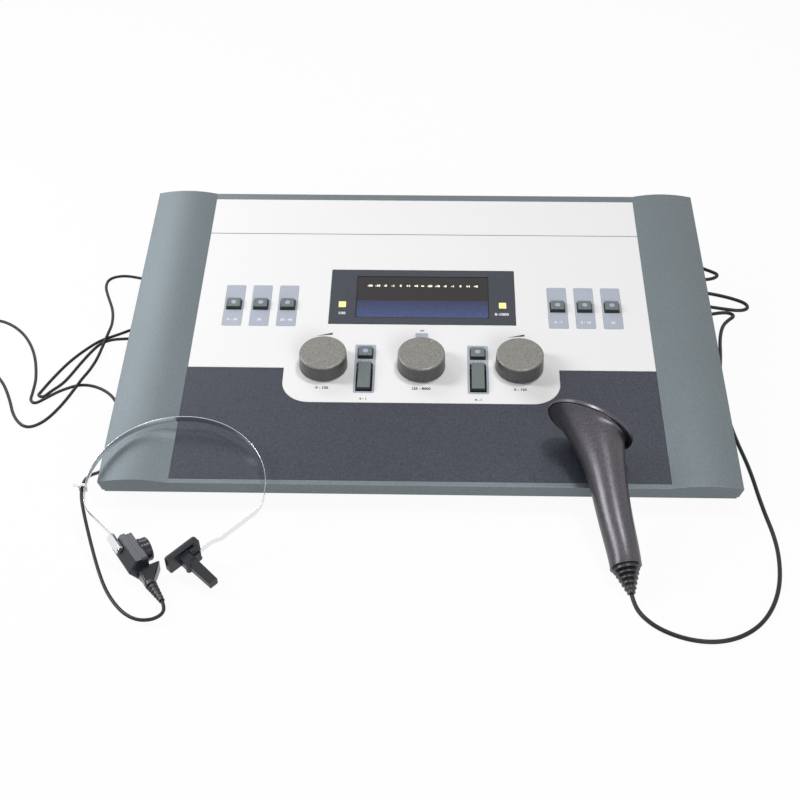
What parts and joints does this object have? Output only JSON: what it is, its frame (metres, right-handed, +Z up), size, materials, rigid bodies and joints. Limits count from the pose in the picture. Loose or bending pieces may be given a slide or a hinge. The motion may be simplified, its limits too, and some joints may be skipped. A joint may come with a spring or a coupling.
{
  "type": "audiometer",
  "caption": "Sloping desktop audiometer console with display window, rotary knobs, keys and presentation bars, a corded response handset and a bone conduction headset on a spring band.",
  "frame": {"origin": "on the table, under the middle of the console's footprint", "axes": "+X to the console's right, +Y to its rear, +Z up"},
  "size_m": [0.6918, 0.562, 0.0809],
  "materials": {
    "housing": "fine speckled satin",
    "base": "fine speckled satin",
    "overlay_white": "matt printed sheet",
    "overlay_dark": "fine speckled matt",
    "bezel": "satin",
    "window": "tinted clear",
    "display": "lit panel",
    "lamp_amber": "clear amber",
    "plate": "satin",
    "key": "satin, dark sides",
    "light_pipe": "clear",
    "knob": "fine speckled satin",
    "steel": "brushed",
    "bright_steel": "bright",
    "brass": "plain",
    "board": "lacquered",
    "component": "plain",
    "supply": "plain",
    "rear_plate": "fine texture",
    "connector": "satin",
    "rubber": "matt",
    "cord": "soft satin",
    "handset": "satin metallic lacquer",
    "vibrator": "satin",
    "clip_white": "satin"
  },
  "bodies": {
    "console": {"audio_jacks": "connector", "base_housing": "base", "control_board": "board", "cord_tie": "rubber", "display_bezel": "bezel", "display_module": "display", "display_window": "window", "encoder_bodies": "steel", "handset_cord": "cord", "handset_plug": "connector", "headset_cord": "cord", "headset_plug": "connector", "housing_screws": "steel", "indicator_lenses": "lamp_amber", "key_leds": "light_pipe", "key_plates": "plate", "key_switches": "component", "level_meter": "component", "lower_overlay": "overlay_dark", "main_board": "board", "mains_inlet": "connector", "power_supply": "supply", "power_switch_frame": "connector", "rear_panel": "rear_plate", "rubber_feet": "rubber", "tone_bar_brackets": "steel", "top_housing": "housing", "upper_overlay": "overlay_white"},
    "level_knob_left": {"level_knob_left": "knob", "level_shaft_left": "steel"},
    "frequency_knob": {"frequency_knob": "knob", "frequency_shaft": "steel"},
    "level_knob_right": {"level_knob_right": "knob", "level_shaft_right": "steel"},
    "key_left_1": {"key_left_1": "key"},
    "key_left_2": {"key_left_2": "key"},
    "key_left_3": {"key_left_3": "key"},
    "key_right_1": {"key_right_1": "key"},
    "key_right_2": {"key_right_2": "key"},
    "key_right_3": {"key_right_3": "key"},
    "key_centre_left": {"key_centre_left": "key"},
    "key_centre_right": {"key_centre_right": "key"},
    "tone_bar_left": {"tone_bar_left": "key"},
    "tone_bar_right": {"tone_bar_right": "key"},
    "power_rocker": {"power_rocker": "connector"},
    "handset": {"handset_body": "handset", "handset_cap": "handset", "handset_switch": "component", "handset_boot": "rubber"},
    "response_button": {"response_button": "vibrator"},
    "headset": {"headband": "bright_steel", "vibrator_yoke": "bright_steel", "cord_clip": "clip_white", "pad_arm": "bright_steel", "headset_lead": "cord"},
    "vibrator": {"vibrator_case": "vibrator", "vibrator_face": "vibrator", "vibrator_plug": "vibrator", "vibrator_boot": "rubber"},
    "temple_pad": {"temple_pad": "rubber"}
  },
  "joints": [
    {"name": "level_knob_left_turn", "type": "hinge", "parent": "console", "child": "level_knob_left", "pos_m": [-0.0784, -0.04625, 0.03962], "axis": [0, -0.1392, 0.9903], "continuous": true},
    {"name": "frequency_knob_turn", "type": "hinge", "parent": "console", "child": "frequency_knob", "pos_m": [0, -0.04625, 0.03962], "axis": [0, -0.1392, 0.9903], "continuous": true},
    {"name": "level_knob_right_turn", "type": "hinge", "parent": "console", "child": "level_knob_right", "pos_m": [0.0784, -0.04625, 0.03962], "axis": [0, -0.1392, 0.9903], "continuous": true},
    {"name": "key_left_1_press", "type": "slide", "parent": "console", "child": "key_left_1", "axis": [0, 0.1392, -0.9903], "range_m": [0, 0.0012], "stiffness_N_per_m": 900, "springref_m": -0.0006},
    {"name": "key_left_2_press", "type": "slide", "parent": "console", "child": "key_left_2", "axis": [0, 0.1392, -0.9903], "range_m": [0, 0.0012], "stiffness_N_per_m": 900, "springref_m": -0.0006},
    {"name": "key_left_3_press", "type": "slide", "parent": "console", "child": "key_left_3", "axis": [0, 0.1392, -0.9903], "range_m": [0, 0.0012], "stiffness_N_per_m": 900, "springref_m": -0.0006},
    {"name": "key_right_1_press", "type": "slide", "parent": "console", "child": "key_right_1", "axis": [0, 0.1392, -0.9903], "range_m": [0, 0.0012], "stiffness_N_per_m": 900, "springref_m": -0.0006},
    {"name": "key_right_2_press", "type": "slide", "parent": "console", "child": "key_right_2", "axis": [0, 0.1392, -0.9903], "range_m": [0, 0.0012], "stiffness_N_per_m": 900, "springref_m": -0.0006},
    {"name": "key_right_3_press", "type": "slide", "parent": "console", "child": "key_right_3", "axis": [0, 0.1392, -0.9903], "range_m": [0, 0.0012], "stiffness_N_per_m": 900, "springref_m": -0.0006},
    {"name": "key_centre_left_press", "type": "slide", "parent": "console", "child": "key_centre_left", "axis": [0, 0.1392, -0.9903], "range_m": [0, 0.0012], "stiffness_N_per_m": 900, "springref_m": -0.0006},
    {"name": "key_centre_right_press", "type": "slide", "parent": "console", "child": "key_centre_right", "axis": [0, 0.1392, -0.9903], "range_m": [0, 0.0012], "stiffness_N_per_m": 900, "springref_m": -0.0006},
    {"name": "tone_bar_left_tip", "type": "hinge", "parent": "console", "child": "tone_bar_left", "pos_m": [-0.0453, -0.04231, 0.03391], "axis": [1, 0, 0], "range_deg": [0, 2.5], "stiffness_Nm_per_rad": 0.6, "springref_deg": -1.72},
    {"name": "tone_bar_right_tip", "type": "hinge", "parent": "console", "child": "tone_bar_right", "pos_m": [0.0453, -0.04231, 0.03391], "axis": [1, 0, 0], "range_deg": [0, 2.5], "stiffness_Nm_per_rad": 0.6, "springref_deg": -1.72},
    {"name": "power_rocker_tilt", "type": "hinge", "parent": "console", "child": "power_rocker", "pos_m": [0.06, 0.16821, 0.032], "axis": [1, 0, 0], "range_deg": [0, 20]},
    {"name": "handset_lift", "type": "slide", "parent": "console", "child": "handset", "axis": [0, 0, 1], "range_m": [0, 0.12]},
    {"name": "response_button_press", "type": "slide", "parent": "handset", "child": "response_button", "axis": [-0.4166, -0.8422, -0.3423], "range_m": [0, 0.0025], "stiffness_N_per_m": 600, "springref_m": -0.001},
    {"name": "headset_lift", "type": "slide", "parent": "console", "child": "headset", "axis": [0, 0, 1], "range_m": [0, 0.1]},
    {"name": "vibrator_swing", "type": "hinge", "parent": "headset", "child": "vibrator", "pos_m": [-0.21186, -0.236, 0.01538], "axis": [-0.6738, -0.4376, 0.5955], "range_deg": [-10, 10]},
    {"name": "temple_pad_swivel", "type": "hinge", "parent": "headset", "child": "temple_pad", "pos_m": [-0.15844, -0.23987, 0.01434], "axis": [0, -0.2011, 0.9796], "range_deg": [-12, 12]}
  ]
}
